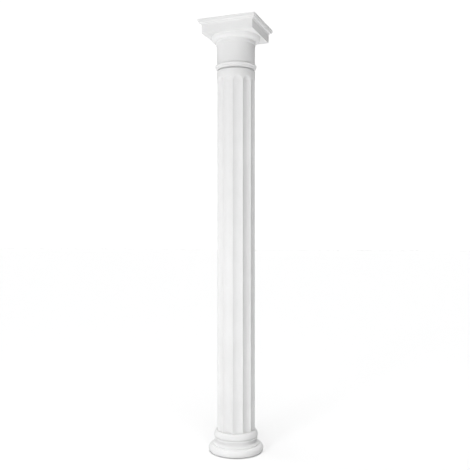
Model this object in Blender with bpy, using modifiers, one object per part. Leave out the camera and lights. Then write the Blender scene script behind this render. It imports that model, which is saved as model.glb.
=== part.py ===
"""A Doric column in three moulded pieces: a turned base, a fluted shaft and a capital with a square
abacus. The shaft rests on the base and the capital rests on the shaft. Metres, +Z up, the origin at
the middle of the underside."""

import math

import bpy

# What the three pieces share
SHAFT_RADIUS = 0.110  # over the arrises; the capital's neck and the base's seat have it too
WALL = 0.0275  # from the arrises in to the round hole that runs through all three
SEAT_GAP = 0.0003  # between a piece and the one that it rests on
ROUND_STEPS = 60  # sides of a turned moulding
SHARP_FROM = 35  # degrees between two faces, from which their edge is left sharp in the shading

# Base, members from the ground up. A projection is measured out from the shaft's face
FOOT_TORUS_HEIGHT = 0.042
FOOT_TORUS_SEAT = 0.136  # radius of its flat underside
FOOT_STEP_PROJECTION = 0.024
FOOT_STEP_HEIGHT = 0.009
SCOTIA_PROJECTION = 0.010  # at its waist
SCOTIA_HEIGHT = 0.026
BASE_FILLET_PROJECTION = 0.0125
BASE_FILLET_HEIGHT = 0.010
COLLAR_PROJECTION = 0.015  # at its foot
COLLAR_HEIGHT = 0.037

# Shaft
SHAFT_LENGTH = 2.062
SHAFT_TURN = math.radians(10.5)  # how far round from the front an arris stands
FLUTE_COUNT = 12
FLUTE_DEPTH = 0.010
FLUTE_TOP_MARGIN = 0.041  # plain band above the flutes' round ends
ARRIS_WIDTH = 0.002
SIDES_PER_FLUTE = 6
HOLLOW_STEPS = 48  # sides of the whole circle that a flute is part of

# Capital, members from the shaft up. A projection is measured out from the neck's face
SEAT_WIDTH = 0.0095  # of the flat ring round the hole, where it rests on the shaft
SPLAY_PROJECTION = -0.005
SPLAY_HEIGHT = 0.009
LIP_PROJECTION = 0.004
LIP_HEIGHT = 0.010
BEAD_PROJECTION = 0.002  # of the ring that it swells out from
BEAD_HEIGHT = 0.015
GROOVE_DEPTH = 0.003
GROOVE_HEIGHT = 0.003
NECK_HEIGHT = 0.114
ANNULET_PROJECTION = 0.0035
ANNULET_HEIGHT = 0.018
ECHINUS_FOOT_PROJECTION = 0.0055
ECHINUS_PROJECTION = 0.0315
ECHINUS_HEIGHT = 0.027
BLOCK_MARGIN = 0.0095  # of the square block round the echinus
BLOCK_HEIGHT = 0.047
CYMA_STEP = 0.002
CYMA_PROJECTION = 0.0135
CYMA_HEIGHT = 0.018
ABACUS_STEP = 0.0025
ABACUS_HEIGHT = 0.014

# How far a cutter runs past what it cuts, and the turned part of the capital up into its block
CUTTER_PAST = 0.02
JOIN_DEPTH = 0.015

BORE_RADIUS = SHAFT_RADIUS - WALL


def clear_scene():
    for obj in list(bpy.data.objects):
        bpy.data.objects.remove(obj)


def collection(name):
    made = bpy.data.collections.new(name)
    bpy.context.scene.collection.children.link(made)
    return made


def painted(name, colour, roughness):
    material = bpy.data.materials.new(name)
    material.use_nodes = True
    shader = material.node_tree.nodes["Principled BSDF"]
    shader.inputs["Base Color"].default_value = (*colour, 1.0)
    shader.inputs["Roughness"].default_value = roughness
    shader.inputs["Metallic"].default_value = 0.0
    return material


def stacked(heights):
    """The level of each member's top, by name, from the heights of the members from the foot up."""
    levels = {}
    level = 0.0
    for name, height in heights:
        level += height
        levels[name] = level
    return levels


BASE = stacked(
    [
        ("foot_torus", FOOT_TORUS_HEIGHT),
        ("foot_step", FOOT_STEP_HEIGHT),
        ("scotia", SCOTIA_HEIGHT),
        ("fillet", BASE_FILLET_HEIGHT),
        ("collar", COLLAR_HEIGHT),
    ]
)
CAPITAL = stacked(
    [
        ("splay", SPLAY_HEIGHT),
        ("lip", LIP_HEIGHT),
        ("bead", BEAD_HEIGHT),
        ("groove", GROOVE_HEIGHT),
        ("neck", NECK_HEIGHT),
        ("annulet", ANNULET_HEIGHT),
        ("echinus", ECHINUS_HEIGHT),
        ("block", BLOCK_HEIGHT),
        ("cyma", CYMA_HEIGHT),
        ("abacus", ABACUS_HEIGHT),
    ]
)


def arc(middle, half_width, half_height, start, end, steps):
    """Points of an ellipse's arc, by angles in degrees, from start to end."""
    points = []
    for i in range(steps + 1):
        angle = math.radians(start + (end - start) * i / steps)
        points.append((middle[0] + half_width * math.cos(angle), middle[1] + half_height * math.sin(angle)))
    return points


def half_round(ring, top, height, steps):
    """A torus or bead moulding's face, which swells out from its ring, from its top to its foot."""
    swell = height / 2
    return arc((ring, top - swell), swell, swell, 90, -90, steps)


def turned(name, profile, steps, group):
    """A solid of revolution round Z. The profile runs down its outer side, top to bottom. It starts
    and ends on the axis, or else it is closed into a ring."""
    edges = [(i, i + 1) for i in range(len(profile) - 1)]
    if profile[0][0] > 0:
        edges.append((len(profile) - 1, 0))
    mesh = bpy.data.meshes.new(name)
    mesh.from_pydata([(radius, 0.0, height) for radius, height in profile], edges, [])
    piece = bpy.data.objects.new(name, mesh)
    group.objects.link(piece)
    screw = piece.modifiers.new("turn", "SCREW")
    screw.axis = "Z"
    screw.angle = math.tau
    screw.steps = steps
    screw.render_steps = steps
    screw.use_merge_vertices = True
    screw.merge_threshold = 0.00001
    screw.use_smooth_shade = True
    return piece


def combine(piece, helper, operation):
    """Joins the helper to the piece, or cuts it out. The helper itself is left out of a render."""
    helper.parent = piece
    helper.hide_render = True
    helper.display_type = "WIRE"
    boolean = piece.modifiers.new(helper.name, "BOOLEAN")
    boolean.operation = operation
    boolean.solver = "EXACT"
    boolean.object = helper


def finish(piece):
    """Applies the piece's modifiers, and shades it smooth between the edges of its mouldings."""
    graph = bpy.context.evaluated_depsgraph_get()
    mesh = bpy.data.meshes.new_from_object(piece.evaluated_get(graph), depsgraph=graph)
    piece.modifiers.clear()
    piece.data = mesh
    mesh.shade_smooth()
    mesh.set_sharp_from_angle(angle=math.radians(SHARP_FROM))


def build_base(group, white):
    step_radius = SHAFT_RADIUS + FOOT_STEP_PROJECTION
    waist_radius = SHAFT_RADIUS + SCOTIA_PROJECTION
    fillet_radius = SHAFT_RADIUS + BASE_FILLET_PROJECTION
    profile = [(BORE_RADIUS, BASE["collar"])]
    profile += arc((SHAFT_RADIUS, BASE["fillet"]), COLLAR_PROJECTION, COLLAR_HEIGHT, 90, 0, 7)
    profile += [(fillet_radius, BASE["fillet"]), (fillet_radius, BASE["scotia"])]
    scotia_middle = (step_radius, BASE["scotia"])
    profile += arc(scotia_middle, step_radius - waist_radius, SCOTIA_HEIGHT, 180, 270, 5)
    profile += [(step_radius, BASE["foot_torus"])]
    profile += half_round(FOOT_TORUS_SEAT, BASE["foot_torus"], FOOT_TORUS_HEIGHT, 8)
    profile += [(BORE_RADIUS, 0.0)]
    base = turned("column_base", profile, ROUND_STEPS, group)
    base.data.materials.append(white)


def flute_circle():
    """Radius of a flute's hollow, and how far its centre line stands from the shaft's axis."""
    floor = SHAFT_RADIUS - FLUTE_DEPTH
    half_angle = math.pi / FLUTE_COUNT - ARRIS_WIDTH / 2 / SHAFT_RADIUS
    edge_reach = SHAFT_RADIUS * math.cos(half_angle)
    radius = (SHAFT_RADIUS**2 + floor**2 - 2 * floor * edge_reach) / (2 * (edge_reach - floor))
    return radius, floor + radius


def build_shaft(group, cutters, white):
    face = [(SHAFT_RADIUS, SHAFT_LENGTH), (SHAFT_RADIUS, 0.0)]
    profile = [(BORE_RADIUS, SHAFT_LENGTH), *face, (BORE_RADIUS, 0.0)]
    shaft = turned("fluted_shaft", profile, FLUTE_COUNT * SIDES_PER_FLUTE, group)
    shaft.location.z = BASE["collar"] + SEAT_GAP
    shaft.rotation_euler.z = SHAFT_TURN - math.pi / 2
    shaft.data.materials.append(white)

    radius, reach = flute_circle()
    end_height = math.sqrt(radius**2 - (reach - SHAFT_RADIUS) ** 2)
    springing = SHAFT_LENGTH - FLUTE_TOP_MARGIN - end_height
    dome = arc((0.0, springing), radius, radius, 90, 0, HOLLOW_STEPS // 4)[1:]
    hollow = [(0.0, springing + radius), *dome, (radius, -CUTTER_PAST), (0.0, -CUTTER_PAST)]
    for i in range(FLUTE_COUNT):
        flute = turned(f"flute_{i + 1}", hollow, HOLLOW_STEPS, cutters)
        angle = math.tau * (i + 0.5) / FLUTE_COUNT
        flute.location = (reach * math.cos(angle), reach * math.sin(angle), 0.0)
        flute.rotation_euler.z = angle
        combine(shaft, flute, "DIFFERENCE")


def capital_under_block(cutters):
    """The turned part, from the splay round the seat to the echinus, and on up into the block."""
    seat_radius = BORE_RADIUS + SEAT_WIDTH
    splay_radius = SHAFT_RADIUS + SPLAY_PROJECTION
    bead_ring = SHAFT_RADIUS + BEAD_PROJECTION
    annulet_radius = SHAFT_RADIUS + ANNULET_PROJECTION
    ovolo_foot = SHAFT_RADIUS + ECHINUS_FOOT_PROJECTION
    echinus_radius = SHAFT_RADIUS + ECHINUS_PROJECTION
    groove_middle = (CAPITAL["bead"] + CAPITAL["groove"]) / 2
    top = CAPITAL["echinus"] + JOIN_DEPTH
    profile = [(0.0, top), (echinus_radius, top)]
    ovolo_middle = (ovolo_foot, CAPITAL["echinus"])
    profile += arc(ovolo_middle, echinus_radius - ovolo_foot, ECHINUS_HEIGHT, 0, -90, 6)
    profile += [(annulet_radius, CAPITAL["annulet"]), (annulet_radius, CAPITAL["neck"])]
    profile += [(SHAFT_RADIUS, CAPITAL["neck"]), (SHAFT_RADIUS, CAPITAL["groove"])]
    profile += [(SHAFT_RADIUS - GROOVE_DEPTH, groove_middle)]
    profile += half_round(bead_ring, CAPITAL["bead"], BEAD_HEIGHT, 6)
    lip_middle = (splay_radius, CAPITAL["lip"])
    profile += arc(lip_middle, LIP_PROJECTION - SPLAY_PROJECTION, LIP_HEIGHT, 0, -90, 4)
    profile += [(seat_radius, 0.0), (0.0, 0.0)]
    return turned("capital_under_block", profile, ROUND_STEPS, cutters)


def abacus_outline():
    """Half widths and levels of the square part, from its top down to the block's underside."""
    block = SHAFT_RADIUS + ECHINUS_PROJECTION + BLOCK_MARGIN
    cyma_foot = block + CYMA_STEP
    cyma_top = cyma_foot + CYMA_PROJECTION
    abacus = cyma_top + ABACUS_STEP
    middle = (cyma_foot + cyma_top) / 2
    quarter = (CYMA_PROJECTION / 2, CYMA_HEIGHT / 2)
    outline = [(0.0, CAPITAL["abacus"]), (abacus, CAPITAL["abacus"]), (abacus, CAPITAL["cyma"])]
    # The cyma's S: a convex quarter above a concave one
    outline += arc((middle, CAPITAL["cyma"]), *quarter, 0, -90, 4)
    outline += arc((middle, CAPITAL["block"]), *quarter, 90, 180, 4)[1:]
    outline += [(block, CAPITAL["block"]), (block, CAPITAL["echinus"]), (0.0, CAPITAL["echinus"])]
    return outline


def build_capital(group, cutters, white):
    corner = math.sqrt(2)  # a square's corner stands this many half widths from its middle
    profile = [(half_width * corner, level) for half_width, level in abacus_outline()]
    capital = turned("capital", profile, 4, group)
    capital.rotation_euler.z = math.pi / 4
    capital.location.z = BASE["collar"] + SEAT_GAP + SHAFT_LENGTH + SEAT_GAP
    capital.data.materials.append(white)
    combine(capital, capital_under_block(cutters), "UNION")

    top = CAPITAL["abacus"] + CUTTER_PAST
    hole = [(0.0, top), (BORE_RADIUS, top), (BORE_RADIUS, -CUTTER_PAST), (0.0, -CUTTER_PAST)]
    combine(capital, turned("capital_bore", hole, ROUND_STEPS, cutters), "DIFFERENCE")


def main():
    clear_scene()
    column = collection("doric_column")
    cutters = collection("cutters")
    white = painted("white_primer", (0.86, 0.86, 0.86), 0.5)
    build_base(column, white)
    build_shaft(column, cutters, white)
    build_capital(column, cutters, white)
    for piece in column.objects:
        finish(piece)


main()
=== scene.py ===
"""The looks of the white moulded column: its base, fluted shaft and capital as fine meshes in a
sprayed white primer, on a pale studio floor in soft light, with the camera. Metres, Z up."""

import math

import bmesh
import bpy
from mathutils import Matrix, Vector


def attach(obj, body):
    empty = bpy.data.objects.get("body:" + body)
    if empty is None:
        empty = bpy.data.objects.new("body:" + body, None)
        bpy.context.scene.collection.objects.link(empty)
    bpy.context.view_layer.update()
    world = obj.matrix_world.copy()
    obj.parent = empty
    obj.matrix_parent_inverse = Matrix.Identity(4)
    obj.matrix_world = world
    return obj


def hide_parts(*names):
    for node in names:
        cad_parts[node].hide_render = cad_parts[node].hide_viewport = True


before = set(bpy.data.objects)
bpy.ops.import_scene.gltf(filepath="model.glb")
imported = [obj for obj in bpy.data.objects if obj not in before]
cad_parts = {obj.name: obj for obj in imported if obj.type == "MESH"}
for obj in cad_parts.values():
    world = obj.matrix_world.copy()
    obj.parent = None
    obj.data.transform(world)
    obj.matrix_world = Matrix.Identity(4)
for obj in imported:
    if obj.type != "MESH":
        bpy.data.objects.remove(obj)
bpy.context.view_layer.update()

# All three pieces
SHAFT_RADIUS = 0.110
BORE_RADIUS = 0.0825
SEAT_GAP = 0.0003
TURN_STEPS = 192  # sides of a turned moulding
ARC_STEPS = 14  # sides of a quarter round in an outline
EASED = 0.0008  # how far in from a corner its rounding starts
EASED_STEPS = 3  # sides of a corner's rounding
SHARP_FROM = math.radians(32)  # an edge that turns further than this is shaded as an edge
MERGED = 0.00001  # points nearer than this become one

# Base: radii of its members, and their heights from the floor up
FOOT_SEAT_RADIUS = 0.136
STEP_RADIUS = 0.134
WAIST_RADIUS = 0.116
BASE_FILLET_RADIUS = 0.1235
COLLAR_FOOT_RADIUS = 0.1175
COLLAR_RADIUS = 0.125
FOOT_TORUS = 0.042
FOOT_STEP = 0.009
SCOTIA = 0.026
BASE_FILLET = 0.010
COLLAR_UNDER = 0.007  # the part of the collar that rounds back in
COLLAR = 0.037
BASE_HEIGHT = FOOT_TORUS + FOOT_STEP + SCOTIA + BASE_FILLET + COLLAR

# Shaft
SHAFT_LENGTH = 2.062
SHAFT_FOOT = BASE_HEIGHT + SEAT_GAP
SHAFT_TURN = math.radians(10.5)  # how far round from the front an arris stands
FLUTES = 12
FLUTE_DEPTH = 0.010
FLUTE_TOP_MARGIN = 0.041  # plain band above the flutes' round ends
ARRIS_WIDTH = 0.002
ARRIS_FROM = math.radians(20)  # a flute's rim turns further than this
ARRIS_STEPS = 2  # sides of an arris's rounding
SHAFT_TOP_EASED = 0.0025
UPRIGHT_TO = 0.5  # an upright face's normal rises less than this
LEVEL_FROM = 0.95  # a level face's normal rises more than this
PAST = 0.02  # how far the flute's cutter runs past the shaft

# Capital: radii and half widths of its members, and their heights from the shaft up
CAPITAL_FOOT = SHAFT_FOOT + SHAFT_LENGTH + SEAT_GAP
CAPITAL_SEAT_RADIUS = 0.092
SPLAY_RADIUS = 0.105
LIP_RADIUS = 0.114
BEAD_RING = 0.112
GROOVE_RADIUS = 0.107
ANNULET_RADIUS = 0.1135
ECHINUS_FOOT_RADIUS = 0.1155
ECHINUS_RADIUS = 0.1415
BLOCK_HALF = 0.151
CYMA_FOOT_HALF = 0.153
CYMA_TOP_HALF = 0.1665
ABACUS_HALF = 0.169
SQUARE_MARGIN = 0.006  # flat left round a square edge before the face is filled in
SPLAY = 0.009
LIP = 0.010
BEAD = 0.015
GROOVE = 0.003
NECK = 0.114
ANNULET = 0.018
ECHINUS = 0.027
BLOCK = 0.047
CYMA = 0.018
ABACUS = 0.014

# Colours of the primer, of its painted shade and patchy darkening, of the bare foam in the hole and of the
# studio
PRIMER_LIGHT = (0.79, 0.79, 0.79, 1)
PRIMER_SHADE = (0.755, 0.755, 0.755, 1)
# darker primer for the painted shade at the joints and the patchy darkening towards the floor
PRIMER_DARKENED = (0.60, 0.595, 0.585, 1)
FOAM_LIGHT = (0.44, 0.41, 0.35, 1)
FOAM_SHADE = (0.30, 0.275, 0.23, 1)
FLOOR_PAINT = (0.92, 0.92, 0.92, 1)
STUDIO_WHITE = (1, 1, 1, 1)

# How fine each pattern is, in grains to the metre
CLOUD_SCALE = 5.0
RIPPLE_SCALE = 38.0
SPRAY_SCALE = 420.0
GRIT_SCALE = 900.0
FOAM_SCALE = 330.0

# Where the patterns lie: distances in metres, and bands of the clouds' and cells' values
FOAM_EDGE = (0.0002, 0.0006)  # the foam ends and the primer starts this far into the wall
SEAM_HALF = 0.0007  # half the width of the line where the mould's halves met
SEAT_SHADE_REACH = 0.003  # painted shade reaches this far from the joints between the pieces
LOW_PATCH_TOP = 0.16  # the patchy darkening towards the floor fades out at this height
COAT_BAND = (0.3, 0.7)  # from the darker coat to the lighter
LOW_PATCH_BAND = (0.5, 0.72)  # from no patchy darkening to the full one
CELL_BAND = (0.0, 0.6)  # from a cell's middle to its walls

# How strong the patterns are in the colour, the relief and the roughness
SPRAY_MIDDLE = 0.5
COAT_SPECKLE = 0.3
# painted shade at the joints between the pieces
SEAT_SHADE = 0.35
# patchy darkening towards the floor
LOW_PATCH_DARKENING = 0.2
RELIEF = 0.002  # height of the deepest grain
RELIEF_STRENGTH = 0.7
SPRAY_RELIEF = 0.34
RIPPLE_RELIEF = 0.40
GRIT_RELIEF = 0.10
SEAM_RELIEF = 0.12
FOAM_RELIEF = 0.5
PRIMER_ROUGHNESS = 0.60
CLOUD_ROUGHNESS = 0.12
FOAM_ROUGHNESS = 0.2  # over the primer's
PRIMER_GLOSS = 0.3
FLOOR_ROUGHNESS = 0.9

# The photograph's view: pixels of its square frame
FRAME_PIXELS = 470
METRES_PER_PIXEL = 0.00579  # at the column's axis
AXIS_COLUMN = 236.0
HORIZON_ROW = 238.0
SHAFT_FOOT_ROW = 428.5
CAMERA_DISTANCE = 3.64
CAMERA_AZIMUTH = math.radians(20.3)
SENSOR_WIDTH = 36.0

# The studio: a floor that runs to the horizon, and how bright the white round it looks and lights
FLOOR_HALF = 60
SURROUND_SEEN = 1.05
SURROUND_LIGHT = 0.01
# Soft boxes far off: degrees round from the camera, elevation, spread and strength
SOFT_BOXES = {
    "overhead_softbox": (0, 90, 60, 2.75),
    "side_softbox": (-110, 8, 40, 0.75),
    "key_softbox": (-28, 8, 40, 0.75),
    "high_softbox": (10, 45, 40, 0.55),
}
# The strip light beside the camera
STRIP_TURN = -30
STRIP_DISTANCE = 2.4
STRIP_HEIGHT = 1.0
STRIP_WIDTH = 0.3
STRIP_LENGTH = 1.5
STRIP_POWER = 12.5


class Outline:
    """A moulding's outline in the XZ plane, drawn from point to point, then turned round Z."""

    def __init__(self, radius, height):
        self.mesh = bmesh.new()
        self.start = self.mesh.verts.new((radius, 0, height))
        self.end = self.start

    def line(self, radius, height):
        """A straight run to a point at that radius and height."""
        self.end = bmesh.ops.extrude_vert_indiv(self.mesh, verts=[self.end])["verts"][0]
        self.end.co = (radius, 0, height)
        return self

    def sweep(self, middle, degrees, stretch=(1, 1)):
        """A run round a middle point, clockwise, stretched along X and Z from a circle's arc."""
        centre = Vector((middle[0], 0, middle[1]))
        before = len(self.mesh.verts)
        steps = round(abs(degrees) / 90 * ARC_STEPS)
        swept = bmesh.ops.spin(
            self.mesh, geom=[self.end], cent=centre, axis=(0, 1, 0), angle=math.radians(degrees), steps=steps
        )
        self.mesh.verts.ensure_lookup_table()
        new = self.mesh.verts[before:]
        vec = (stretch[0], 1, stretch[1])
        bmesh.ops.scale(self.mesh, verts=new, vec=vec, space=Matrix.Translation(-centre))
        self.end = next(part for part in swept["geom_last"] if isinstance(part, bmesh.types.BMVert))
        return self

    def close(self):
        self.mesh.edges.new((self.end, self.start))
        return self

    def ease(self, distance=EASED, near=None):
        """Rounds the outline's corners off, or only the one near a radius and height."""
        corners = []
        for vert in self.mesh.verts:
            if len(vert.link_edges) != 2:
                continue
            runs = [edge.other_vert(vert).co - vert.co for edge in vert.link_edges]
            if near and (vert.co - Vector((near[0], 0, near[1]))).length > MERGED:
                continue
            turned = math.pi - runs[0].angle(runs[1])
            if turned > SHARP_FROM and min(run.length for run in runs) > 2 * distance:
                corners.append(vert)
        settings = {"segments": EASED_STEPS, "profile": 0.5, "material": -1}
        bmesh.ops.bevel(self.mesh, geom=corners, offset=distance, affect="VERTICES", **settings)
        return self

    def turned(self, steps=TURN_STEPS, angle=math.tau):
        """The mesh that the outline sweeps, turned all the way round or by an angle."""
        geometry = self.mesh.verts[:] + self.mesh.edges[:]
        around = {"cent": (0, 0, 0), "axis": (0, 0, 1), "angle": angle, "use_merge": angle == math.tau}
        bmesh.ops.spin(self.mesh, geom=geometry, steps=steps, **around)
        bmesh.ops.remove_doubles(self.mesh, verts=self.mesh.verts, dist=MERGED)
        bmesh.ops.recalc_face_normals(self.mesh, faces=self.mesh.faces)
        return self.mesh


def placed(name, data):
    """A new object in the scene."""
    made = bpy.data.objects.new(name, data)
    bpy.context.scene.collection.objects.link(made)
    return made


def mesh_object(mesh, name):
    """The bmesh as an object in the scene."""
    data = bpy.data.meshes.new(name)
    mesh.to_mesh(data)
    mesh.free()
    return placed(name, data)


def dressed(mesh, name, node, material):
    """The column's piece of that name, in place of the CAD node."""
    made = mesh_object(mesh, name)
    made.data.shade_smooth()
    made.data.set_sharp_from_angle(angle=SHARP_FROM)
    made.data.materials.append(material)
    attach(made, "root")
    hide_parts(node)


def lifted(mesh, height):
    bmesh.ops.translate(mesh, verts=mesh.verts, vec=(0, 0, height))
    return mesh


def base_mesh():
    """The turned ring: foot torus, step, scotia, fillet and collar round the hole."""
    step = FOOT_TORUS + FOOT_STEP
    scotia = step + SCOTIA
    fillet = scotia + BASE_FILLET
    widest = fillet + COLLAR_UNDER
    outline = Outline(BORE_RADIUS, BASE_HEIGHT).line(SHAFT_RADIUS, BASE_HEIGHT)
    outline.sweep((SHAFT_RADIUS, widest), 90, ((COLLAR_RADIUS - SHAFT_RADIUS) / (BASE_HEIGHT - widest), 1))
    outline.sweep((COLLAR_FOOT_RADIUS, widest), 90, (1, COLLAR_UNDER / (COLLAR_RADIUS - COLLAR_FOOT_RADIUS)))
    outline.line(BASE_FILLET_RADIUS, fillet).line(BASE_FILLET_RADIUS, scotia).line(WAIST_RADIUS, scotia)
    outline.sweep((STEP_RADIUS, scotia), -90, (1, SCOTIA / (STEP_RADIUS - WAIST_RADIUS)))
    outline.line(STEP_RADIUS, FOOT_TORUS).line(FOOT_SEAT_RADIUS, FOOT_TORUS)
    outline.sweep((FOOT_SEAT_RADIUS, FOOT_TORUS / 2), 180).line(BORE_RADIUS, 0).close()
    return outline.ease().turned()


def flute_cutter(radius, springing):
    """The round-ended rod that cuts one flute, standing on its own axis."""
    outline = Outline(0, springing + radius).sweep((0, springing), 90)
    return outline.line(radius, -PAST).line(0, -PAST).turned()


def on_cut(face):
    """Whether the face is upright, in a plane through the axis, as the ends of a slice are."""
    return abs(face.normal.z) < UPRIGHT_TO and abs(face.normal.dot(face.calc_center_median())) < MERGED


def on_rim(edge):
    """Whether the edge runs between the shaft's outside and a flute."""
    if len(edge.link_faces) != 2 or edge.calc_face_angle() < ARRIS_FROM:
        return False
    outer = edge.verts[0].co.xy.length > SHAFT_RADIUS - FLUTE_DEPTH
    return outer and all(abs(face.normal.z) < LEVEL_FROM for face in edge.link_faces)


def shaft_mesh():
    """One flute is cut from a slice of the shaft, and the slice is copied round."""
    slice_angle = math.tau / FLUTES
    floor = SHAFT_RADIUS - FLUTE_DEPTH
    half_angle = slice_angle / 2 - ARRIS_WIDTH / 2 / SHAFT_RADIUS
    edge_reach = SHAFT_RADIUS * math.cos(half_angle)
    radius = (SHAFT_RADIUS**2 + floor**2 - 2 * floor * edge_reach) / (2 * (edge_reach - floor))
    reach = floor + radius
    end_height = math.sqrt(radius**2 - (reach - SHAFT_RADIUS) ** 2)
    springing = SHAFT_LENGTH - FLUTE_TOP_MARGIN - end_height

    outline = Outline(BORE_RADIUS, SHAFT_LENGTH).line(SHAFT_RADIUS, SHAFT_LENGTH).line(SHAFT_RADIUS, 0)
    outline.line(BORE_RADIUS, 0).close().ease(SHAFT_TOP_EASED, near=(SHAFT_RADIUS, SHAFT_LENGTH))
    bmesh.ops.rotate(outline.mesh, verts=outline.mesh.verts, matrix=Matrix.Rotation(-slice_angle / 2, 3, "Z"))
    blank = outline.turned(TURN_STEPS // FLUTES, slice_angle)
    bmesh.ops.holes_fill(blank, edges=blank.edges)
    bmesh.ops.recalc_face_normals(blank, faces=blank.faces)
    blank = mesh_object(blank, "shaft_slice")
    cutter = flute_cutter(radius, springing)
    bmesh.ops.translate(cutter, verts=cutter.verts, vec=(reach, 0, 0))
    cutter = mesh_object(cutter, "flute_cutter")
    cut = blank.modifiers.new("flute", "BOOLEAN")
    cut.operation = "DIFFERENCE"
    cut.solver = "EXACT"
    cut.object = cutter
    shaft = bmesh.new()
    shaft.from_object(blank, bpy.context.evaluated_depsgraph_get())
    bpy.data.objects.remove(blank)
    bpy.data.objects.remove(cutter)

    bmesh.ops.remove_doubles(shaft, verts=shaft.verts, dist=MERGED)
    ends = [face for face in shaft.faces if on_cut(face)]
    bmesh.ops.delete(shaft, geom=ends, context="FACES_ONLY")
    rim = [edge for edge in shaft.edges if on_rim(edge)]
    settings = {"segments": ARRIS_STEPS, "profile": 0.5, "material": -1, "clamp_overlap": False}
    bmesh.ops.bevel(shaft, geom=rim, offset=EASED, affect="EDGES", **settings)
    one = shaft.verts[:] + shaft.edges[:] + shaft.faces[:]
    for i in range(1, FLUTES):
        copy = bmesh.ops.duplicate(shaft, geom=one)["geom"]
        verts = [part for part in copy if isinstance(part, bmesh.types.BMVert)]
        bmesh.ops.rotate(shaft, verts=verts, matrix=Matrix.Rotation(slice_angle * i, 3, "Z"))
    bmesh.ops.remove_doubles(shaft, verts=shaft.verts, dist=MERGED)
    first = SHAFT_TURN - math.pi / 2 + slice_angle / 2
    bmesh.ops.rotate(shaft, verts=shaft.verts, matrix=Matrix.Rotation(first, 3, "Z"))
    return lifted(shaft, SHAFT_FOOT)


def capital_round():
    """The capital's turned shell, from the echinus down to the seat and up through the hole."""
    lip = SPLAY + LIP
    bead = lip + BEAD
    groove = bead + GROOVE
    neck = groove + NECK
    annulet = neck + ANNULET
    echinus = annulet + ECHINUS
    top = echinus + BLOCK + CYMA + ABACUS
    outline = Outline(ECHINUS_RADIUS, echinus)
    outline.sweep((ECHINUS_FOOT_RADIUS, echinus), 90, (1, ECHINUS / (ECHINUS_RADIUS - ECHINUS_FOOT_RADIUS)))
    outline.line(ANNULET_RADIUS, annulet).line(ANNULET_RADIUS, neck).line(SHAFT_RADIUS, neck)
    outline.line(SHAFT_RADIUS, groove).line(GROOVE_RADIUS, (bead + groove) / 2).line(BEAD_RING, bead)
    outline.sweep((BEAD_RING, (lip + bead) / 2), 180).line(LIP_RADIUS, lip)
    outline.sweep((SPLAY_RADIUS, lip), 90, (1, LIP / (LIP_RADIUS - SPLAY_RADIUS)))
    outline.line(CAPITAL_SEAT_RADIUS, 0).line(BORE_RADIUS, 0).line(BORE_RADIUS, top)
    return outline.ease().turned()


def capital_square():
    """The capital's square shell: abacus, cyma and block. A square is turned in four steps."""
    block_foot = SPLAY + LIP + BEAD + GROOVE + NECK + ANNULET + ECHINUS
    block = block_foot + BLOCK
    cyma = block + CYMA
    top = cyma + ABACUS
    middle = (CYMA_FOOT_HALF + CYMA_TOP_HALF) / 2
    steepness = CYMA / (CYMA_TOP_HALF - CYMA_FOOT_HALF)
    outline = Outline(ABACUS_HALF - SQUARE_MARGIN, top).line(ABACUS_HALF, top).line(ABACUS_HALF, cyma)
    outline.line(CYMA_TOP_HALF, cyma).sweep((middle, cyma), 90, (1, steepness))
    outline.sweep((middle, block), -90, (1 / steepness, 1)).line(BLOCK_HALF, block)
    outline.line(BLOCK_HALF, block_foot).line(BLOCK_HALF - SQUARE_MARGIN, block_foot)
    mesh = outline.mesh
    bmesh.ops.scale(mesh, verts=mesh.verts, vec=(math.sqrt(2), 1, 1))
    bmesh.ops.rotate(mesh, verts=mesh.verts, matrix=Matrix.Rotation(math.pi / 4, 3, "Z"))
    mesh = outline.turned(4)
    corners = [edge for edge in mesh.edges if edge.calc_face_angle(0) > SHARP_FROM]
    settings = {"segments": EASED_STEPS, "profile": 0.5, "material": -1}
    bmesh.ops.bevel(mesh, geom=corners, offset=EASED, affect="EDGES", **settings)
    return mesh


def capital_mesh():
    """The round and the square shells as one, with the flat rings between them filled in."""
    capital = bmesh.new()
    for shell in (capital_round(), capital_square()):
        data = bpy.data.meshes.new("shell")
        shell.to_mesh(data)
        shell.free()
        capital.from_mesh(data)
        bpy.data.meshes.remove(data)
    open_edges = [edge for edge in capital.edges if edge.is_boundary]
    heights = [edge.verts[0].co.z for edge in open_edges]
    middle = (min(heights) + max(heights)) / 2
    for over in (True, False):
        ring = [edge for edge in open_edges if (edge.verts[0].co.z > middle) == over]
        bmesh.ops.triangle_fill(capital, edges=ring, use_beauty=True)
    bmesh.ops.recalc_face_normals(capital, faces=capital.faces)
    return lifted(capital, CAPITAL_FOOT)


class Value:
    """A shader socket. Sums on it add Math nodes to its tree."""

    def __init__(self, tree, socket):
        self.tree = tree
        self.socket = socket

    def math(self, operation, *values):
        return self.tree.node("ShaderNodeMath", {"operation": operation}, dict(enumerate(values)))

    def root(self):
        return self.math("SQRT", self)

    def __add__(self, other):
        return self.math("ADD", self, other)

    def __sub__(self, other):
        return self.math("SUBTRACT", self, other)

    def __rsub__(self, other):
        return self.math("SUBTRACT", other, self)

    def __mul__(self, other):
        return self.math("MULTIPLY", self, other)

    def __abs__(self):
        return self.math("ABSOLUTE", self)

    __radd__ = __add__
    __rmul__ = __mul__


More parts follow.
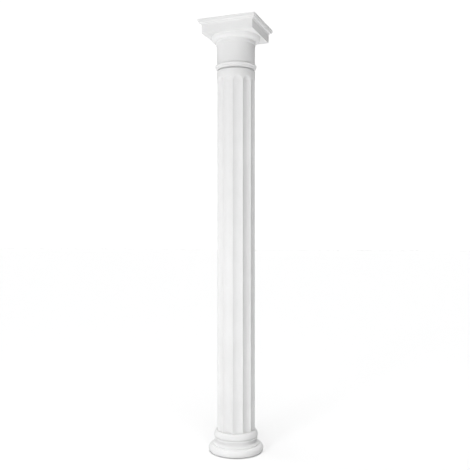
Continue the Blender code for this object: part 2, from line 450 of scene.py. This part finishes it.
class Tree:
    """The nodes of a material or of the world, and the one that its values feed."""

    def __init__(self, holder, shader):
        holder.use_nodes = True
        self.nodes = holder.node_tree.nodes
        self.links = holder.node_tree.links
        self.shader = self.nodes[shader]

    def node(self, kind, settings=None, sockets=None, output=0):
        """A node of that kind, with its settings, its sockets' values or links, and one output."""
        made = self.nodes.new(kind)
        for name, setting in (settings or {}).items():
            setattr(made, name, setting)
        for key, value in (sockets or {}).items():
            self.feed(made.inputs[key], value)
        return Value(self, made.outputs[output])

    def feed(self, socket, value):
        if isinstance(value, Value):
            self.links.new(value.socket, socket)
        else:
            socket.default_value = value

    def shade(self, **values):
        """Feeds the shader's sockets. An underline in a name stands for a space."""
        for name, value in values.items():
            self.feed(self.shader.inputs[name.replace("_", " ")], value)

    def axes(self, place):
        """The three coordinates of a place."""
        split = self.node("ShaderNodeSeparateXYZ", sockets={0: place}).socket.node
        return [Value(self, split.outputs[axis]) for axis in "XYZ"]

    def blend(self, factor, first, second):
        """A colour between two, by a factor. Sockets 6 and 7 and output 2 are the node's colours."""
        sockets = {0: factor, 6: first, 7: second}
        return self.node("ShaderNodeMix", {"data_type": "RGBA"}, sockets, 2)

    def noise(self, place, scale, detail):
        sockets = {"Vector": place, "Scale": scale, "Detail": detail}
        return self.node("ShaderNodeTexNoise", sockets=sockets)

    def fade(self, value, start, end):
        """0 up to start, 1 from end on and a smooth slope between. Start may be the greater."""
        settings = {"interpolation_type": "SMOOTHSTEP"}
        sockets = {"Value": value, "From Min": min(start, end), "From Max": max(start, end)}
        sockets["To Min"] = 0.0 if start < end else 1.0
        sockets["To Max"] = 1.0 if start < end else 0.0
        return self.node("ShaderNodeMapRange", settings, sockets)


def white_primer():
    """White primer sprayed over moulded polyurethane, with painted shade at the joints and the bare foam
    inside the hole.
    """
    material = bpy.data.materials.new("white_primer")
    finish = Tree(material, "Principled BSDF")
    place = finish.node("ShaderNodeTexCoord", output="Object")
    x, y, z = finish.axes(place)
    clouds = finish.noise(place, CLOUD_SCALE, 3.0)
    ripple = finish.noise(place, RIPPLE_SCALE, 2.0)
    spray = finish.noise(place, SPRAY_SCALE, 2.0)
    grit = finish.noise(place, GRIT_SCALE, 1.0)
    inside = finish.fade((x * x + y * y).root(), BORE_RADIUS + FOAM_EDGE[1], BORE_RADIUS + FOAM_EDGE[0])
    outside = 1 - inside

    coat = finish.fade(clouds + (spray - SPRAY_MIDDLE) * COAT_SPECKLE, *COAT_BAND)
    # painted shade: the primer darkens within a few millimetres of the joints between the pieces
    joint_shade = [finish.fade(abs(z - height), SEAT_SHADE_REACH, 0.0) for height in (SHAFT_FOOT, CAPITAL_FOOT)]
    # patchy darkening towards the floor, fading out upwards
    low_patches = finish.fade(clouds, *LOW_PATCH_BAND) * finish.fade(z, LOW_PATCH_TOP, 0.0)
    # painted shade at the joints, with the patchy darkening towards the floor, as one darkening of the primer
    darkening = (joint_shade[0] + joint_shade[1]) * SEAT_SHADE + low_patches * LOW_PATCH_DARKENING
    primer = finish.blend(darkening, finish.blend(coat, PRIMER_SHADE, PRIMER_LIGHT), PRIMER_DARKENED)
    cells = finish.node("ShaderNodeTexVoronoi", sockets={"Vector": place, "Scale": FOAM_SCALE})
    foam = finish.blend(finish.fade(cells, *CELL_BAND), FOAM_SHADE, FOAM_LIGHT)
    finish.shade(Base_Color=finish.blend(inside, primer, foam))

    seam = finish.fade(abs(y), SEAM_HALF, 0.0)
    grain = spray * SPRAY_RELIEF + ripple * RIPPLE_RELIEF + grit * GRIT_RELIEF + seam * SEAM_RELIEF
    height = grain * outside + cells * inside * FOAM_RELIEF
    sockets = {"Strength": RELIEF_STRENGTH, "Distance": RELIEF, "Height": height}
    finish.shade(Normal=finish.node("ShaderNodeBump", sockets=sockets))

    roughness = PRIMER_ROUGHNESS + clouds * CLOUD_ROUGHNESS + inside * FOAM_ROUGHNESS
    finish.shade(Roughness=roughness, Specular_IOR_Level=PRIMER_GLOSS)
    return material


def studio_floor():
    """A wide pale floor."""
    mesh = bmesh.new()
    bmesh.ops.create_grid(mesh, x_segments=1, y_segments=1, size=FLOOR_HALF)
    floor = mesh_object(mesh, "studio_floor")
    material = bpy.data.materials.new("floor_paint")
    paint = Tree(material, "Principled BSDF")
    paint.shade(Base_Color=FLOOR_PAINT, Roughness=FLOOR_ROUGHNESS, Specular_IOR_Level=0.0)
    floor.data.materials.append(material)


def studio_surround():
    """White all round where it is seen, while hardly any light comes from it."""
    world = bpy.data.worlds.new("studio_surround")
    tree = Tree(world, "Background")
    seen = tree.node("ShaderNodeLightPath", output="Is Camera Ray")
    sockets = {"Value": seen, "To Min": SURROUND_LIGHT, "To Max": SURROUND_SEEN}
    tree.shade(Color=STUDIO_WHITE, Strength=tree.node("ShaderNodeMapRange", sockets=sockets))
    bpy.context.scene.world = world


def from_camera(turn, elevation=0):
    """The direction that lies so many degrees round from the camera, to the right, and up."""
    around = CAMERA_AZIMUTH + math.radians(turn)
    rise = math.radians(elevation)
    return Vector((math.sin(around) * math.cos(rise), -math.cos(around) * math.cos(rise), math.sin(rise)))


def soft_box(name, turn, elevation, spread, strength):
    """A broad light from far off."""
    data = bpy.data.lights.new(name, "SUN")
    data.energy = strength
    data.angle = math.radians(spread)
    placed(name, data).rotation_euler = from_camera(turn, elevation).to_track_quat("Z", "Y").to_euler()


def strip_light():
    """A tall soft light near the column, level with its shaft and turned to it."""
    data = bpy.data.lights.new("strip_light", "AREA")
    data.shape = "RECTANGLE"
    data.size = STRIP_WIDTH
    data.size_y = STRIP_LENGTH
    data.energy = STRIP_POWER
    light = placed("strip_light", data)
    light.visible_camera = False
    side = from_camera(STRIP_TURN)
    light.location = side * STRIP_DISTANCE + Vector((0, 0, STRIP_HEIGHT))
    light.rotation_euler = side.to_track_quat("Z", "Y").to_euler()


def photograph_camera():
    data = bpy.data.cameras.new("camera")
    data.sensor_width = SENSOR_WIDTH
    data.lens = CAMERA_DISTANCE / METRES_PER_PIXEL / FRAME_PIXELS * SENSOR_WIDTH
    data.shift_x = (FRAME_PIXELS / 2 - AXIS_COLUMN) / FRAME_PIXELS
    data.shift_y = (HORIZON_ROW - FRAME_PIXELS / 2) / FRAME_PIXELS
    camera = placed("camera", data)
    height = SHAFT_FOOT + (SHAFT_FOOT_ROW - HORIZON_ROW) * METRES_PER_PIXEL
    camera.location = from_camera(0) * CAMERA_DISTANCE + Vector((0, 0, height))
    camera.rotation_euler = (math.pi / 2, 0, CAMERA_AZIMUTH)
    bpy.context.scene.camera = camera


white = white_primer()
dressed(base_mesh(), "base", "column_base", white)
dressed(shaft_mesh(), "shaft", "fluted_shaft", white)
dressed(capital_mesh(), "square_capital", "capital", white)
studio_floor()
studio_surround()
for box, values in SOFT_BOXES.items():
    soft_box(box, *values)
strip_light()
photograph_camera()
bpy.context.scene.view_settings.view_transform = "Standard"
